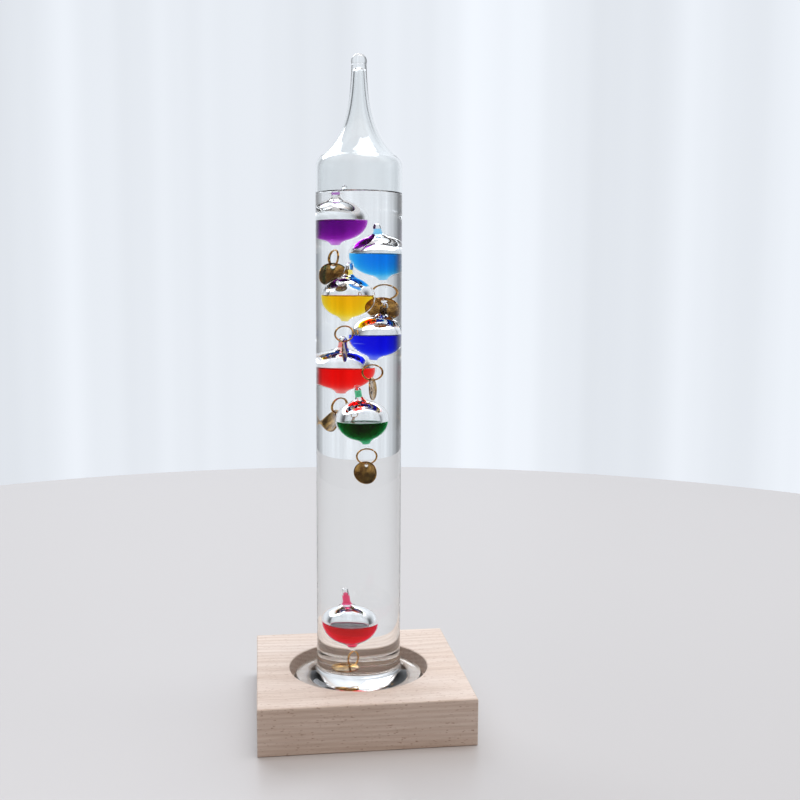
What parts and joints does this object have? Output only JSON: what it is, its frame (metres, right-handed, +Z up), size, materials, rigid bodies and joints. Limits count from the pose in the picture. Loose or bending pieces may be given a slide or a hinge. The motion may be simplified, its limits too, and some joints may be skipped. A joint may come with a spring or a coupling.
{
  "type": "galileo thermometer",
  "caption": "Sealed glass column of clear liquid with coloured glass floats and hanging brass tags, standing in a recessed square wood block.",
  "frame": {"origin": "centre of the wood block's underside", "axes": "+Z up along the glass column, -Y the front"},
  "size_m": [0.1, 0.1, 0.3165],
  "materials": {
    "beech": "fine sanded, clear matt oil",
    "clear_glass": "flame-worked, polished",
    "clear_liquid": "clear colourless liquid",
    "bulb_glass": "thin blown glass",
    "purple_dye": "purple dyed liquid",
    "lightblue_dye": "light blue dyed liquid",
    "yellow_dye": "yellow dyed liquid",
    "darkblue_dye": "dark blue dyed liquid",
    "red_dye": "red dyed liquid",
    "green_dye": "green dyed liquid",
    "crimson_dye": "crimson dyed liquid",
    "brass_wire": "bright drawn wire",
    "brass_tag": "stamped, lightly aged"
  },
  "bodies": {
    "base": {"wood_base": "beech"},
    "vessel": {"glass_vessel": "clear_glass", "clear_fluid": "clear_liquid"},
    "purple_float": {"purple_bulb": "bulb_glass", "purple_dye": "purple_dye"},
    "purple_ring": {"purple_ring": "brass_wire"},
    "purple_tag": {"purple_tag": "brass_tag"},
    "lightblue_float": {"lightblue_bulb": "bulb_glass", "lightblue_dye": "lightblue_dye"},
    "lightblue_ring": {"lightblue_ring": "brass_wire"},
    "lightblue_tag": {"lightblue_tag": "brass_tag"},
    "yellow_float": {"yellow_bulb": "bulb_glass", "yellow_dye": "yellow_dye"},
    "yellow_ring": {"yellow_ring": "brass_wire"},
    "yellow_tag": {"yellow_tag": "brass_tag"},
    "darkblue_float": {"darkblue_bulb": "bulb_glass", "darkblue_dye": "darkblue_dye"},
    "darkblue_ring": {"darkblue_ring": "brass_wire"},
    "darkblue_tag": {"darkblue_tag": "brass_tag"},
    "red_float": {"red_bulb": "bulb_glass", "red_dye": "red_dye"},
    "red_ring": {"red_ring": "brass_wire"},
    "red_tag": {"red_tag": "brass_tag"},
    "green_float": {"green_bulb": "bulb_glass", "green_dye": "green_dye"},
    "green_ring": {"green_ring": "brass_wire"},
    "green_tag": {"green_tag": "brass_tag"},
    "crimson_float": {"crimson_bulb": "bulb_glass", "crimson_dye": "crimson_dye"},
    "crimson_ring": {"crimson_ring": "brass_wire"},
    "crimson_tag": {"crimson_tag": "brass_tag"}
  },
  "joints": [
    {"name": "vessel_lift", "type": "slide", "parent": "base", "child": "vessel", "axis": [0, 0, 1], "range_m": [0, 0.03]},
    {"name": "purple_float_slide", "type": "slide", "parent": "vessel", "child": "purple_float", "axis": [0, 0, 1], "range_m": [-0.008, 0], "deforming": ["clear_fluid"]},
    {"name": "purple_ring_swing", "type": "hinge", "parent": "purple_float", "child": "purple_ring", "pos_m": [-0.00643, 0.00582, 0.2255], "axis": [-0.0695, 0.9938, 0.0872], "range_deg": [0, 15]},
    {"name": "purple_tag_swing", "type": "hinge", "parent": "purple_ring", "child": "purple_tag", "pos_m": [-0.00698, 0.00642, 0.21825], "axis": [-0.0695, 0.9938, 0.0872], "range_deg": [-1, 15]},
    {"name": "lightblue_float_slide", "type": "slide", "parent": "purple_float", "child": "lightblue_float", "axis": [0, 0, 1], "range_m": [-0.008, 0], "deforming": ["clear_fluid"]},
    {"name": "lightblue_ring_swing", "type": "hinge", "parent": "lightblue_float", "child": "lightblue_ring", "pos_m": [0.00782, 0.00478, 0.20931], "axis": [0.9323, 0.3579, 0.0523], "range_deg": [0, 20]},
    {"name": "lightblue_tag_swing", "type": "hinge", "parent": "lightblue_ring", "child": "lightblue_tag", "pos_m": [0.00781, 0.00586, 0.20209], "axis": [0.9323, 0.3579, 0.0523], "range_deg": [-2, 25]},
    {"name": "yellow_float_slide", "type": "slide", "parent": "lightblue_float", "child": "yellow_float", "axis": [0, 0, 1], "range_m": [-0.008, 0], "deforming": ["clear_fluid"]},
    {"name": "yellow_ring_swing", "type": "hinge", "parent": "yellow_float", "child": "yellow_ring", "pos_m": [-0.00546, -0.00274, 0.18984], "axis": [0.8059, -0.5855, 0.0872], "range_deg": [-20, 1]},
    {"name": "yellow_tag_swing", "type": "hinge", "parent": "yellow_ring", "child": "yellow_tag", "pos_m": [-0.0057, -0.00413, 0.18267], "axis": [0.8059, -0.5855, 0.0872], "range_deg": [-25, 5]},
    {"name": "darkblue_float_slide", "type": "slide", "parent": "yellow_float", "child": "darkblue_float", "axis": [0, 0, 1], "range_m": [-0.008, 0], "deforming": ["clear_fluid"]},
    {"name": "darkblue_ring_swing", "type": "hinge", "parent": "darkblue_float", "child": "darkblue_ring", "pos_m": [0.00447, -0.00038, 0.17145], "axis": [0.9391, 0.3418, -0.0349], "range_deg": [-20, 2]},
    {"name": "darkblue_tag_swing", "type": "hinge", "parent": "darkblue_ring", "child": "darkblue_tag", "pos_m": [0.00444, -0.00106, 0.16418], "axis": [0.9391, 0.3418, -0.0349], "range_deg": [-25, 20]},
    {"name": "red_float_slide", "type": "slide", "parent": "darkblue_float", "child": "red_float", "axis": [0, 0, 1], "range_m": [-0.008, 0], "deforming": ["clear_fluid"]},
    {"name": "red_ring_swing", "type": "hinge", "parent": "red_float", "child": "red_ring", "pos_m": [-0.00441, 0.008, 0.15491], "axis": [0.7193, 0.6947, 0], "range_deg": [0, 6]},
    {"name": "red_tag_swing", "type": "hinge", "parent": "red_ring", "child": "red_tag", "pos_m": [-0.0052, 0.00882, 0.1477], "axis": [0.7193, 0.6947, 0], "range_deg": [-3, 12]},
    {"name": "green_float_slide", "type": "slide", "parent": "red_float", "child": "green_float", "axis": [0, 0, 1], "range_m": [-0.01, 0], "deforming": ["clear_fluid"]},
    {"name": "green_ring_swing", "type": "hinge", "parent": "green_float", "child": "green_ring", "pos_m": [0.00259, -0.00481, 0.1316], "axis": [0.9992, 0.0174, -0.0349], "range_deg": [-25, 25]},
    {"name": "green_tag_swing", "type": "hinge", "parent": "green_ring", "child": "green_tag", "pos_m": [0.00234, -0.00482, 0.12431], "axis": [0.9992, 0.0174, -0.0349], "range_deg": [-25, 25]},
    {"name": "crimson_float_slide", "type": "slide", "parent": "vessel", "child": "crimson_float", "axis": [0, 0, 1], "range_m": [0, 0.048], "deforming": ["clear_fluid"]},
    {"name": "crimson_ring_swing", "type": "hinge", "parent": "crimson_float", "child": "crimson_ring", "pos_m": [-0.00197, -0.00044, 0.0311], "axis": [0.5736, 0.8192, 0], "range_deg": [-8, 8]},
    {"name": "crimson_tag_swing", "type": "hinge", "parent": "crimson_ring", "child": "crimson_tag", "pos_m": [-0.00347, -0.00259, 0.02492], "axis": [-0.8192, 0.5736, 0], "range_deg": [-1, 8]}
  ]
}
